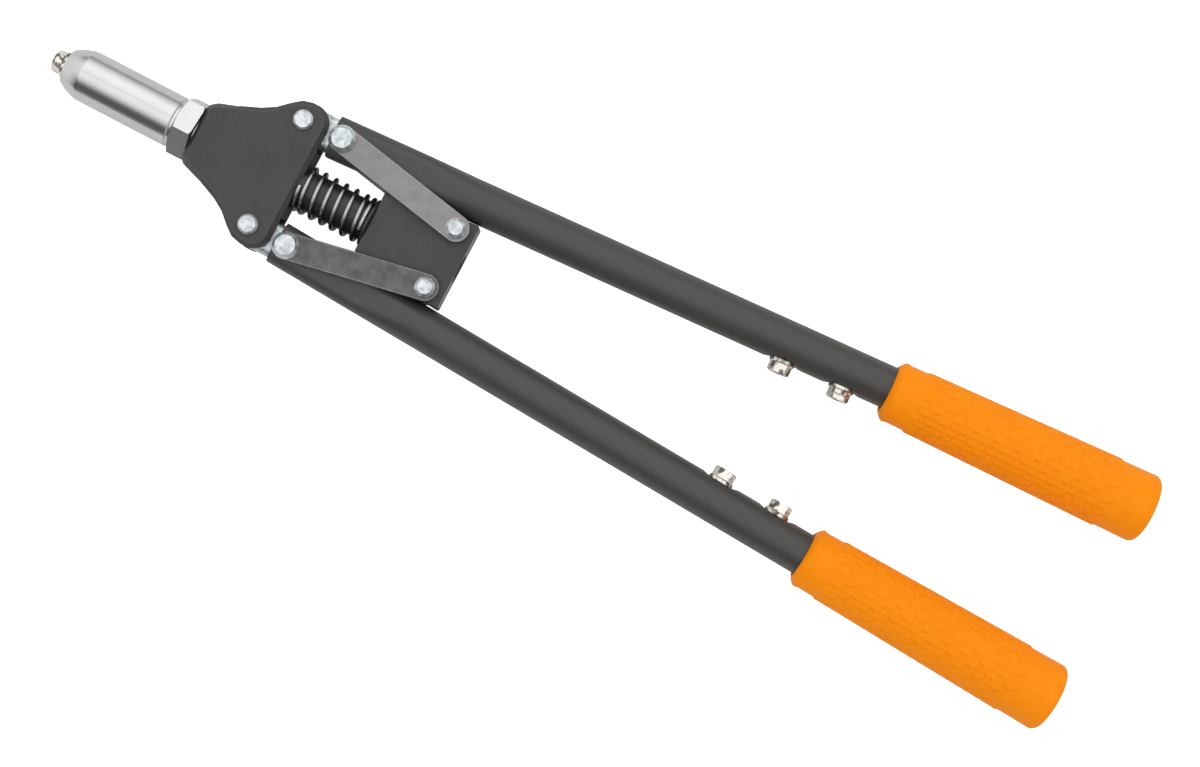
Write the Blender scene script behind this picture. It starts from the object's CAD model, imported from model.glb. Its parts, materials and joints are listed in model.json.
"""Visual model of the hand riveter: materials, textured grips, springs, light and camera."""
import json
from math import cos, pi, radians, sin, tau

import bpy
from mathutils import Matrix, Vector


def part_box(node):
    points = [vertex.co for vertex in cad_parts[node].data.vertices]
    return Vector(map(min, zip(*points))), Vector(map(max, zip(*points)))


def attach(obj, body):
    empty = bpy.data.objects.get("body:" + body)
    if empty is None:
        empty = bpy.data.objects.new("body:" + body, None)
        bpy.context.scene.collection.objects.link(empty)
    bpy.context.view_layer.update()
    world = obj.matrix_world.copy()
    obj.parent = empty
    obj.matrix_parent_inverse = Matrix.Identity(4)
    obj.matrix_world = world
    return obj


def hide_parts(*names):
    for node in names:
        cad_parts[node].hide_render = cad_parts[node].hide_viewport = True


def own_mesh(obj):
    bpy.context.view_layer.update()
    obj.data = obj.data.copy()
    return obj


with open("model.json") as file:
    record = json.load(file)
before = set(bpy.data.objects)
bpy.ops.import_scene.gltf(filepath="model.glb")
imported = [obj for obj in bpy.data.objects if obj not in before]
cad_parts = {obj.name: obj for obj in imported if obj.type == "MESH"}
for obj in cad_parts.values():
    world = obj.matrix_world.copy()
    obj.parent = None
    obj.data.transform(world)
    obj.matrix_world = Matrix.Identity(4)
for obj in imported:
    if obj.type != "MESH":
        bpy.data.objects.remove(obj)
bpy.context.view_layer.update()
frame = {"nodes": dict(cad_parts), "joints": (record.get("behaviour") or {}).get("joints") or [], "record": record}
nodes = frame["nodes"]

MM = 0.001


# --- Node helpers ---
def set_range(map_range, *limits):
    """Set a Map Range node's limits: from low, from high, to low, to high."""
    for key, number in zip(("From Min", "From Max", "To Min", "To Max"), limits):
        map_range.inputs[key].default_value = number


class Material:
    """A Principled material with a small set of helpers to build its node tree."""

    def __init__(self, name, **inputs):
        self.material = bpy.data.materials.new(name)
        self.material.use_nodes = True
        self.tree = self.material.node_tree
        self.shader = self.tree.nodes["Principled BSDF"]
        self.place = self.tree.nodes.new("ShaderNodeTexCoord").outputs["Object"]
        for socket, value in inputs.items():
            self.shader.inputs[socket.replace("_", " ")].default_value = value

    def node(self, kind, **settings):
        """A new node. Names that are inputs set the input, others set a property."""
        made = self.tree.nodes.new(kind)
        for key, value in settings.items():
            if key in made.inputs:
                self.put(made.inputs[key], value)
            else:
                setattr(made, key, value)
        return made

    def put(self, socket, value):
        """Link a socket into another one, or set its value."""
        if isinstance(value, bpy.types.NodeSocket):
            self.tree.links.new(value, socket)
        else:
            socket.default_value = value

    def stretched(self, scale):
        """Object coordinates scaled by three factors, for streaks and brushed marks."""
        mapping = self.node("ShaderNodeMapping", Vector=self.place)
        mapping.inputs["Scale"].default_value = scale
        return mapping.outputs["Vector"]

    def noise(self, scale, detail=3.0, roughness=0.5, place=None):
        """Noise from 0 to 1. The scale is in features for each metre."""
        made = self.node(
            "ShaderNodeTexNoise",
            Vector=place or self.place,
            Scale=scale,
            Detail=detail,
            Roughness=roughness,
        )
        return made.outputs["Fac"]

    def ramp(self, value, low, high, to_low=0.0, to_high=1.0):
        """Remap a value from low..high to to_low..to_high."""
        made = self.node("ShaderNodeMapRange", Value=value)
        set_range(made, low, high, to_low, to_high)
        return made.outputs["Result"]

    def mix(self, factor, first, second):
        """Mix two colours."""
        made = self.node("ShaderNodeMix", data_type="RGBA")
        self.put(made.inputs["Factor"], factor)
        self.put(made.inputs["A"], first)
        self.put(made.inputs["B"], second)
        return made.outputs["Result"]

    def edge_wear(self, radius):
        """1 on sharp outer edges and 0 on flat areas, from the bevelled normal."""
        bevel = self.node("ShaderNodeBevel", samples=6, Radius=radius)
        geometry = self.node("ShaderNodeNewGeometry")
        dot = self.node("ShaderNodeVectorMath", operation="DOT_PRODUCT")
        self.put(dot.inputs[0], bevel.outputs["Normal"])
        self.put(dot.inputs[1], geometry.outputs["Normal"])
        return self.ramp(dot.outputs["Value"], 0.995, 0.9)

    def bump(self, *layers):
        """Bump layers, each (height socket, distance in metres)."""
        normal = None
        for height, distance in layers:
            made = self.node("ShaderNodeBump", Height=height, Distance=distance, Strength=1.0)
            if normal:
                self.put(made.inputs["Normal"], normal)
            normal = made.outputs["Normal"]
        self.put(self.shader.inputs["Normal"], normal)

    def set(self, socket, value):
        """Put a value or a link on one of the shader's sockets."""
        self.put(self.shader.inputs[socket], value)


# --- Materials ---
def nickel():
    """Polished nickel plate with faint turning marks round the tool's axis."""
    m = Material("polished_nickel", Metallic=1.0)
    turning = m.noise(1.0, 4.0, 0.6, m.stretched((5200.0, 90.0, 90.0)))
    cloud = m.noise(110.0, 3.0)
    m.set("Base Color", m.mix(cloud, (0.61, 0.607, 0.605, 1), (0.68, 0.675, 0.67, 1)))
    m.set("Roughness", m.ramp(turning, 0.3, 0.7, 0.15, 0.25))
    m.bump((turning, 0.000004), (cloud, 0.00001))
    return m.material


def warm_nickel():
    """Small nosepieces: warmer, glossier plate with dark smudges from use."""
    m = Material("warm_nickel", Metallic=1.0)
    smudge = m.noise(300.0, 2.0, 0.5)
    grain = m.noise(2400.0, 3.0)
    clean = m.ramp(smudge, 0.38, 0.50)
    m.set("Base Color", m.mix(clean, (0.14, 0.125, 0.105, 1), (0.84, 0.80, 0.73, 1)))
    m.set("Roughness", m.ramp(grain, 0.3, 0.7, 0.12, 0.24))
    m.bump((grain, 0.000012))
    return m.material


def zinc():
    """Bright zinc plate, slightly pitted, on rivet heads and knuckles."""
    m = Material("bright_zinc", Metallic=1.0)
    grain = m.noise(1900.0, 4.0, 0.6)
    cloud = m.noise(420.0, 3.0)
    bright = m.ramp(cloud, 0.35, 0.65)
    m.set("Base Color", m.mix(bright, (0.44, 0.49, 0.51, 1), (0.84, 0.87, 0.87, 1)))
    m.set("Roughness", m.ramp(cloud, 0.3, 0.7, 0.34, 0.56))
    m.bump((cloud, 0.00040), (grain, 0.00002))
    return m.material


def link_steel():
    """Tumbled bare steel with blotches and fine scratches."""
    m = Material("tumbled_steel", Metallic=1.0)
    grain = m.noise(2600.0, 5.0, 0.65)
    blotch = m.noise(160.0, 5.0, 0.6)
    scratches = m.noise(1.0, 3.0, 0.5, m.stretched((260.0, 4200.0, 260.0)))
    split = m.node("ShaderNodeSeparateXYZ", Vector=m.place)
    oiled = m.ramp(split.outputs["Y"], 0.004, -0.004)
    patchy = m.ramp(blotch, 0.3, 0.7)
    base = m.mix(patchy, (0.25, 0.246, 0.238, 1), (0.31, 0.305, 0.295, 1))
    dark = m.mix(patchy, (0.10, 0.098, 0.094, 1), (0.18, 0.177, 0.17, 1))
    base = m.mix(oiled, base, dark)
    worn = m.mix(m.edge_wear(0.0007), base, (0.55, 0.545, 0.535, 1))
    m.set("Base Color", worn)
    m.set("Roughness", m.ramp(grain, 0.3, 0.7, 0.40, 0.56))
    m.bump((grain, 0.00003), (scratches, 0.000015), (blotch, 0.00004))
    return m.material


def casting():
    """Matte black paint over a fine cast skin, worn on edges, bare on the rearmost face."""
    m = Material("black_casting", Metallic=0.0)
    skin = m.noise(950.0, 6.0, 0.62)
    speckle = m.noise(4200.0, 2.0)
    blotch = m.noise(70.0, 4.0)
    paint = m.mix(m.ramp(speckle, 0.35, 0.7), (0.036, 0.035, 0.034, 1), (0.064, 0.062, 0.060, 1))
    paint = m.mix(m.ramp(blotch, 0.3, 0.75, 0.0, 0.35), paint, (0.072, 0.070, 0.066, 1))
    split = m.node("ShaderNodeSeparateXYZ", Vector=m.place)
    bare = m.ramp(split.outputs["X"], 0.2043, 0.2045)
    paint = m.mix(bare, paint, (0.26, 0.255, 0.245, 1))
    m.set("Base Color", m.mix(m.edge_wear(0.0006), paint, (0.125, 0.122, 0.118, 1)))
    m.set("Roughness", m.ramp(skin, 0.3, 0.7, 0.44, 0.62))
    m.set("Specular IOR Level", 0.4)
    m.bump((skin, 0.00009), (speckle, 0.000035))
    return m.material


def arm_coat():
    """Satin charcoal coating on the tubes, with a faint orange-peel surface."""
    m = Material("charcoal_coat", Metallic=0.0)
    peel = m.noise(620.0, 2.0, 0.4)
    speckle = m.noise(5200.0, 2.0)
    cloud = m.noise(40.0, 3.0)
    base = m.mix(cloud, (0.043, 0.042, 0.037, 1), (0.056, 0.055, 0.049, 1))
    base = m.mix(m.ramp(speckle, 0.5, 0.75, 0.0, 0.4), base, (0.092, 0.089, 0.081, 1))
    m.set("Base Color", base)
    m.set("Roughness", m.ramp(cloud, 0.3, 0.7, 0.33, 0.42))
    m.bump((peel, 0.00003), (speckle, 0.000012))
    return m.material


def black_oxide():
    """Oiled black oxide on the spring sleeve and the washer."""
    m = Material("black_oxide", Metallic=0.0)
    turning = m.noise(1.0, 4.0, 0.6, m.stretched((4200.0, 110.0, 110.0)))
    m.set("Base Color", m.mix(turning, (0.012, 0.012, 0.013, 1), (0.03, 0.03, 0.032, 1)))
    m.set("Roughness", m.ramp(turning, 0.3, 0.7, 0.24, 0.36))
    m.bump((turning, 0.000008))
    return m.material


def spring_steel():
    """Oiled dark spring wire with bright draw marks."""
    m = Material("spring_steel", Metallic=1.0)
    marks = m.noise(700.0, 4.0, 0.6)
    m.set("Base Color", m.mix(marks, (0.34, 0.34, 0.35, 1), (0.62, 0.62, 0.62, 1)))
    m.set("Roughness", m.ramp(marks, 0.3, 0.7, 0.16, 0.30))
    m.bump((marks, 0.00002))
    return m.material


def hard_steel():
    """Machined, hardened steel on the parts inside."""
    m = Material("hardened_steel", Metallic=1.0)
    turning = m.noise(1.0, 4.0, 0.6, m.stretched((3600.0, 140.0, 140.0)))
    m.set("Base Color", m.mix(turning, (0.38, 0.37, 0.36, 1), (0.55, 0.54, 0.53, 1)))
    m.set("Roughness", m.ramp(turning, 0.3, 0.7, 0.22, 0.38))
    m.bump((turning, 0.000008))
    return m.material


def grip_plastic():
    """Soft orange plastic with a slightly mottled, satin skin."""
    m = Material("orange_grip", Metallic=0.0)
    cloud = m.noise(150.0, 4.0, 0.55)
    grain = m.noise(3400.0, 3.0, 0.5)
    m.set("Base Color", m.mix(cloud, (0.96, 0.25, 0.0, 1), (1.0, 0.30, 0.0, 1)))
    m.set("Roughness", m.ramp(grain, 0.3, 0.7, 0.44, 0.56))
    m.set("Specular IOR Level", 0.12)
    m.set("Subsurface Weight", 0.12)
    m.set("Subsurface Radius", (1.0, 0.35, 0.08))
    m.set("Subsurface Scale", 0.0015)
    m.bump((grain, 0.00002), (cloud, 0.00003))
    return m.material


MAKERS = {
    "nickel": nickel,
    "warm_nickel": warm_nickel,
    "zinc": zinc,
    "arm_coat": arm_coat,
    "grip_orange": grip_plastic,
    "link_steel": link_steel,
    "black_casting": casting,
    "black_oxide": black_oxide,
    "spring_steel": spring_steel,
    "hard_steel": hard_steel,
}
materials = {name: make() for name, make in MAKERS.items()}


def paint(thing, slot_name):
    """Give an object one of the materials in all its slots."""
    if not thing.material_slots:
        thing.data.materials.append(materials[slot_name])
    for material_slot in thing.material_slots:
        material_slot.material = materials[slot_name]


for subpart in frame["record"]["subparts"]:
    is_nosepiece = "nosepiece" in subpart["node"] or "spare_nose" in subpart["node"]
    paint(nodes[subpart["node"]], "warm_nickel" if is_nosepiece else subpart["material_slot"])


# --- Meshes ---
def mesh_object(name, points, faces, slot_name):
    """A new smooth mesh object in the row frame with one of the materials."""
    mesh = bpy.data.meshes.new(name)
    mesh.from_pydata(points, [], faces)
    mesh.validate()
    made = bpy.data.objects.new(name, mesh)
    bpy.context.scene.collection.objects.link(made)
    mesh.shade_smooth()
    paint(made, slot_name)
    return made


def rings_to_faces(ring_count, around):
    """Quads between rings of points, and a fan to the two pole points that follow them."""
    faces = []
    for ring in range(ring_count - 1):
        for k in range(around):
            a = ring * around + k
            b = ring * around + (k + 1) % around
            faces.append((a, b, b + around, a + around))
    first_pole = ring_count * around
    last_ring = (ring_count - 1) * around
    for k in range(around):
        faces.append((first_pole, (k + 1) % around, k))
        faces.append((first_pole + 1, last_ring + k, last_ring + (k + 1) % around))
    return faces


def smooth(value, low, high):
    """0 below low, 1 above high, and a smooth step between them."""
    t = min(1.0, max(0.0, (value - low) / (high - low)))
    return t * t * (3 - 2 * t)


# --- Springs: wire with closed end coils ---
CLOSED_TURNS = 0.85
CLOSED_PITCH = 2.08
OPENING_TURNS = 0.5
WIRE_STEPS = 72
WIRE_AROUND = 14


def spring_wire(name, start_x, end_x, outer_r, wire_r, open_turns):
    """A helix on the tool's axis whose end coils lie close together."""
    turns = open_turns + 2 * CLOSED_TURNS
    length = end_x - start_x - 2 * wire_r
    closed_pitch = CLOSED_PITCH * wire_r
    open_pitch = (length - 2 * CLOSED_TURNS * closed_pitch) / open_turns
    steps = round(turns * WIRE_STEPS)
    coil_r = outer_r - wire_r
    along = Vector((1, 0, 0))
    points = []
    x = start_x + wire_r
    for step in range(steps + 1):
        turn = step / WIRE_STEPS
        angle = tau * turn
        from_end = min(turn, turns - turn)
        opening_start = CLOSED_TURNS - OPENING_TURNS / 2
        openness = smooth(from_end, opening_start, opening_start + OPENING_TURNS)
        centre = Vector((x, -coil_r * sin(angle), coil_r * cos(angle)))
        outward = Vector((0, -sin(angle), cos(angle)))
        for k in range(WIRE_AROUND):
            phi = tau * k / WIRE_AROUND
            points.append(centre + wire_r * (cos(phi) * outward + sin(phi) * along))
        x += (closed_pitch + (open_pitch - closed_pitch) * openness) / WIRE_STEPS
    scale = length / (x - start_x - wire_r)
    for point in points:
        point.x = start_x + wire_r + (point.x - start_x - wire_r) * scale
    ends = []
    for first in (0, steps * WIRE_AROUND):
        ends.append(sum((points[first + k] for k in range(WIRE_AROUND)), Vector()) / WIRE_AROUND)
    faces = rings_to_faces(steps + 1, WIRE_AROUND)
    return mesh_object(name, points + ends, faces, "spring_steel")


def replace_spring(node, body, joint, stroke, wire_r, open_turns, fixed_end):
    """Put a wire in place of a CAD spring, shortened towards its fixed end by a joint."""
    low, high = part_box(node)
    wire = spring_wire(node + "_wire", low[0], high[0], high[2], wire_r, open_turns)
    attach(wire, body)
    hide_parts(node)
    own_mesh(wire)


MAIN_SPRING = {"stroke": 13.75 * MM, "wire_r": 1.0 * MM, "open_turns": 5.4, "fixed_end": "front"}
JAW_SPRING = {"stroke": 1.55 * MM, "wire_r": 0.5 * MM, "open_turns": 2.5, "fixed_end": "rear"}
replace_spring("main_spring", "frame", "carriage_slide", **MAIN_SPRING)
replace_spring("jaw_spring", "carriage", "pusher_slide", **JAW_SPRING)

# --- Grips: moulded sleeves with staggered raised ovals ---
ARM_SPLAY = radians(3.17)
ARM_OFFSET = 0.45 * MM
TUBE_R = 9.75 * MM
TUBE_END = 410 * MM
GRIP_START = 287.4 * MM
GRIP_LENGTH = 128.7 * MM
GRIP_OFFSET = {"right": 0.8 * MM, "left": -0.2 * MM}
GRIP_LEAN = {"right": radians(0.8), "left": radians(0.35)}
GRIP_FRONT_R = 13.85 * MM
GRIP_REAR_R = 16.2 * MM
GRIP_END_ROUND = 3.6 * MM
LIP_RISE = 0.75 * MM
LIP_LENGTH = 6.0 * MM
LIP_START = 0.3
# Stations behind the front end and radii of the lip's rounded face, in millimetres.
LIP_PROFILE = [(0.0, 10.6), (0.35, 11.4), (1.3, 12.7), (2.3, 13.8), (3.3, 14.4)]
LIP_TO_SKIN = 0.7 * MM
BORE_CLEARANCE = 0.02
# Stations behind the tube's mouth and widening of the bore, in millimetres.
MOUTH_PROFILE = [(2.6, 0.0), (2.0, 0.35), (0.5, 0.45)]
END_STEPS = 8
END_SHARES = (0.75, 0.45, 0.15)
OVAL_ROWS = 14
OVAL_PITCH = 9.8 * MM
OVAL_LENGTH = 7.2 * MM
OVAL_WIDTH = 4.9 * MM
OVAL_HEIGHT = 0.62 * MM
OVAL_ZONE = (17.5 * MM, 109.0 * MM)
OVAL_RING_R = 15.3 * MM
OVAL_EDGE = (0.70, 1.25)
OVAL_DISH = (0.10, 0.75)
OVAL_DISH_DEPTH = 0.60
GRIP_AROUND = 240
GRIP_STEP = 0.5 * MM


def joint(name):
    """The record's joint of that name."""
    return next(j for j in frame["joints"] if j["name"] == name)


def oval_relief(s, angle):
    """Height of the raised ovals at a station along the grip and an angle round it."""
    half_pitch = OVAL_PITCH / 2
    column = round((s - OVAL_ZONE[0]) / half_pitch)
    height = 0.0
    for k in (column - 1, column, column + 1):
        centre = OVAL_ZONE[0] + k * half_pitch
        if not OVAL_ZONE[0] <= centre <= OVAL_ZONE[1]:
            continue
        row_turn = tau / OVAL_ROWS
        shift = 0.5 * (k % 2)
        row = round(angle / row_turn - shift)
        around = (angle - (row + shift) * row_turn) * OVAL_RING_R
        distance = ((s - centre) / (OVAL_LENGTH / 2)) ** 2 + (around / (OVAL_WIDTH / 2)) ** 2
        edge = 1 - smooth(distance, *OVAL_EDGE)
        dish = 1 - OVAL_DISH_DEPTH * (1 - smooth(distance, *OVAL_DISH))
        height = max(height, edge * dish)
    return height * OVAL_HEIGHT


def grip_radius(s):
    """Outer radius of the sleeve without its ovals: lip, waist and flare."""
    radius = GRIP_FRONT_R + (GRIP_REAR_R - GRIP_FRONT_R) * s / GRIP_LENGTH
    radius += LIP_RISE * (1 - smooth(s, LIP_START * LIP_LENGTH, LIP_LENGTH))
    return radius


def grip_sleeve(name, side):
    """One grip: outer skin, rounded front lip and the bore that holds the tube."""
    body_pivot = Vector(joint("right_arm_swing")["pos_m"])
    link_pivot = Vector(joint("right_link_swing")["pos_m"])
    along = Vector((cos(ARM_SPLAY), sin(ARM_SPLAY), 0))
    inward = Vector((sin(ARM_SPLAY), -cos(ARM_SPLAY), 0))
    arm_origin = link_pivot - along * (link_pivot - body_pivot).dot(along) - inward * ARM_OFFSET
    grip_along = Matrix.Rotation(-GRIP_LEAN[side], 3, "Z") @ along
    grip_front = arm_origin + along * GRIP_START + inward * GRIP_OFFSET[side]
    up = Vector((0, 0, 1))
    points = []

    def ring(origin, direction, station, radius, textured=False):
        across = up.cross(direction)
        for k in range(GRIP_AROUND):
            angle = tau * k / GRIP_AROUND
            r = radius + (oval_relief(station, angle) if textured else 0.0)
            points.append(origin + direction * station + r * (cos(angle) * across + sin(angle) * up))

    tube_origin = arm_origin + along * GRIP_START
    bore_end = TUBE_END - GRIP_START
    bore_r = TUBE_R + BORE_CLEARANCE * MM
    ring(tube_origin, along, bore_end, bore_r)
    for mouth_station, widening in MOUTH_PROFILE:
        ring(tube_origin, along, mouth_station * MM, bore_r + widening * MM)
    for lip_station, lip_radius in LIP_PROFILE:
        ring(grip_front, grip_along, lip_station * MM, lip_radius * MM)
    skin_start = LIP_PROFILE[-1][0] * MM + LIP_TO_SKIN
    skin_length = GRIP_LENGTH - GRIP_END_ROUND - skin_start
    skin_steps = round(skin_length / GRIP_STEP)
    for step in range(skin_steps + 1):
        station = skin_start + skin_length * step / skin_steps
        textured = OVAL_ZONE[0] - OVAL_PITCH < station < OVAL_ZONE[1] + OVAL_PITCH
        ring(grip_front, grip_along, station, grip_radius(station), textured)
    end_r = grip_radius(GRIP_LENGTH)
    for step in range(1, END_STEPS + 1):
        angle = step / END_STEPS * pi / 2
        station = GRIP_LENGTH - GRIP_END_ROUND * (1 - sin(angle))
        ring(grip_front, grip_along, station, end_r - GRIP_END_ROUND * (1 - cos(angle)))
    for share in END_SHARES:
        ring(grip_front, grip_along, GRIP_LENGTH, (end_r - GRIP_END_ROUND) * share)
    ring_count = len(points) // GRIP_AROUND
    points.append(tube_origin + along * bore_end)
    points.append(grip_front + grip_along * GRIP_LENGTH)
    faces = rings_to_faces(ring_count, GRIP_AROUND)
    if side == "left":
        points = [Vector((p.x, -p.y, p.z)) for p in points]
        faces = [tuple(reversed(face)) for face in faces]
    return mesh_object(name, points, faces, "grip_orange")


for side in ("right", "left"):
    grip = grip_sleeve(f"{side}_grip_sleeve", side)
    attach(grip, f"{side}_arm")
    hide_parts(f"{side}_grip")

# --- Floor ---
FLOOR_HALF = 12.0
floor_z = min(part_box(name)[0][2] for name in nodes)


def make_floor():
    """A large pale sheet under the tool, brighter to the camera than in reflections."""
    signs = ((-1, -1), (1, -1), (1, 1), (-1, 1))
    corners = [(FLOOR_HALF * x, FLOOR_HALF * y, floor_z) for x, y in signs]
    mesh = bpy.data.meshes.new("floor")
    mesh.from_pydata(corners, [], [(0, 1, 2, 3)])
    made = bpy.data.objects.new("floor", mesh)
    bpy.context.scene.collection.objects.link(made)
    m = Material("pale_floor", Roughness=0.9)
    seen = m.node("ShaderNodeLightPath").outputs["Is Camera Ray"]
    m.set("Base Color", (0.70, 0.70, 0.70, 1))
    m.set("Emission Color", (1, 1, 1, 1))
    m.set("Emission Strength", m.ramp(seen, 0.0, 1.0, 0.08, 0.95))
    made.data.materials.append(m.material)


make_floor()


# --- Light ---
KEY_PLACE = (-0.1, 0.9, 1.3)
KEY_TARGET = (0.265, 0.0, 0.0)
KEY_SIZE = (0.9, 0.9)
KEY_POWER = 0.3
DOME_LEVEL = 1.27
SEAM_LEVEL = 0.92
SEAM_Y = 0.12
SEAM_EDGES = (0.015, 0.06)
HORIZON_DARK = 0.12
HORIZON_GREY = 0.36
FRONT_GLOW = 0.95
HORIZON_TOP = (0.33, 0.92)
HORIZON_TILT = 0.3
FILL_LEVEL = 0.65
SKY_COLOUR = (0.985, 0.99, 1.0, 1)


def area_light(name, location, target, size, power):
    """A soft box that points at a target."""
    data = bpy.data.lights.new(name, "AREA")
    data.shape = "RECTANGLE"
    data.size, data.size_y = size
    data.energy = power
    made = bpy.data.objects.new(name, data)
    bpy.context.scene.collection.objects.link(made)
    made.location = location
    made.rotation_euler = (Vector(target) - Vector(location)).to_track_quat("-Z", "Y").to_euler()
    return made


area_light("key", KEY_PLACE, KEY_TARGET, KEY_SIZE, KEY_POWER)


def studio_world():
    """A white dome with a faint seam. Only reflections see its horizon, dark to the left."""
    world = bpy.data.worlds.new("studio")
    world.use_nodes = True
    tree = world.node_tree
    place = tree.nodes.new("ShaderNodeTexCoord")
    split = tree.nodes.new("ShaderNodeSeparateXYZ")
    tree.links.new(place.outputs["Generated"], split.inputs["Vector"])

    def remap(value, low, high, to_low, to_high):
        made = tree.nodes.new("ShaderNodeMapRange")
        made.interpolation_type = "SMOOTHSTEP"
        tree.links.new(value, made.inputs["Value"])
        set_range(made, low, high, to_low, to_high)
        return made.outputs["Result"]

    def combine(operation, first, second=0.0):
        made = tree.nodes.new("ShaderNodeMath")
        made.operation = operation
        tree.links.new(first, made.inputs[0])
        if isinstance(second, float):
            made.inputs[1].default_value = second
        else:
            tree.links.new(second, made.inputs[1])
        return made.outputs["Value"]

    left_glow = remap(split.outputs["Z"], 0.02, 0.22, HORIZON_GREY, HORIZON_DARK)
    right_glow = remap(split.outputs["Y"], -0.35, 0.75, 0.0, HORIZON_GREY)
    front_glow = remap(split.outputs["X"], -0.5, -0.85, 0.0, FRONT_GLOW)
    glow = combine("MAXIMUM", combine("MAXIMUM", right_glow, left_glow), front_glow)
    light_path = tree.nodes.new("ShaderNodeLightPath")
    fill = combine("MULTIPLY", light_path.outputs["Is Diffuse Ray"], FILL_LEVEL)
    glow = combine("MAXIMUM", glow, fill)
    tilt = combine("MULTIPLY", split.outputs["Y"], HORIZON_TILT)
    rise = remap(combine("ADD", split.outputs["Z"], tilt), *HORIZON_TOP, 0.0, 1.0)
    from_seam = combine("ABSOLUTE", combine("SUBTRACT", split.outputs["Y"], SEAM_Y))
    dome = remap(from_seam, *SEAM_EDGES, SEAM_LEVEL, DOME_LEVEL)
    mix = tree.nodes.new("ShaderNodeMix")
    tree.links.new(rise, mix.inputs["Factor"])
    tree.links.new(glow, mix.inputs["A"])
    tree.links.new(dome, mix.inputs["B"])
    tree.links.new(mix.outputs["Result"], tree.nodes["Background"].inputs["Strength"])
    tree.nodes["Background"].inputs["Color"].default_value = SKY_COLOUR
    bpy.context.scene.world = world


studio_world()
bpy.context.scene.view_settings.view_transform = "Standard"

# --- Camera: looks straight down, turned so that the tool runs across the frame ---
LENS = 63.0
SENSOR_WIDTH = 36.0
CAMERA_PLACE = (0.28971, -0.06084, 0.94127)
CAMERA_TURN = (2.556, -0.959, 27.478)
camera_data = bpy.data.cameras.new("camera")
camera_data.sensor_width = SENSOR_WIDTH
camera_data.lens = LENS
camera = bpy.data.objects.new("camera", camera_data)
bpy.context.scene.collection.objects.link(camera)
camera.location = CAMERA_PLACE
camera.rotation_euler = [radians(angle) for angle in CAMERA_TURN]
bpy.context.scene.camera = camera
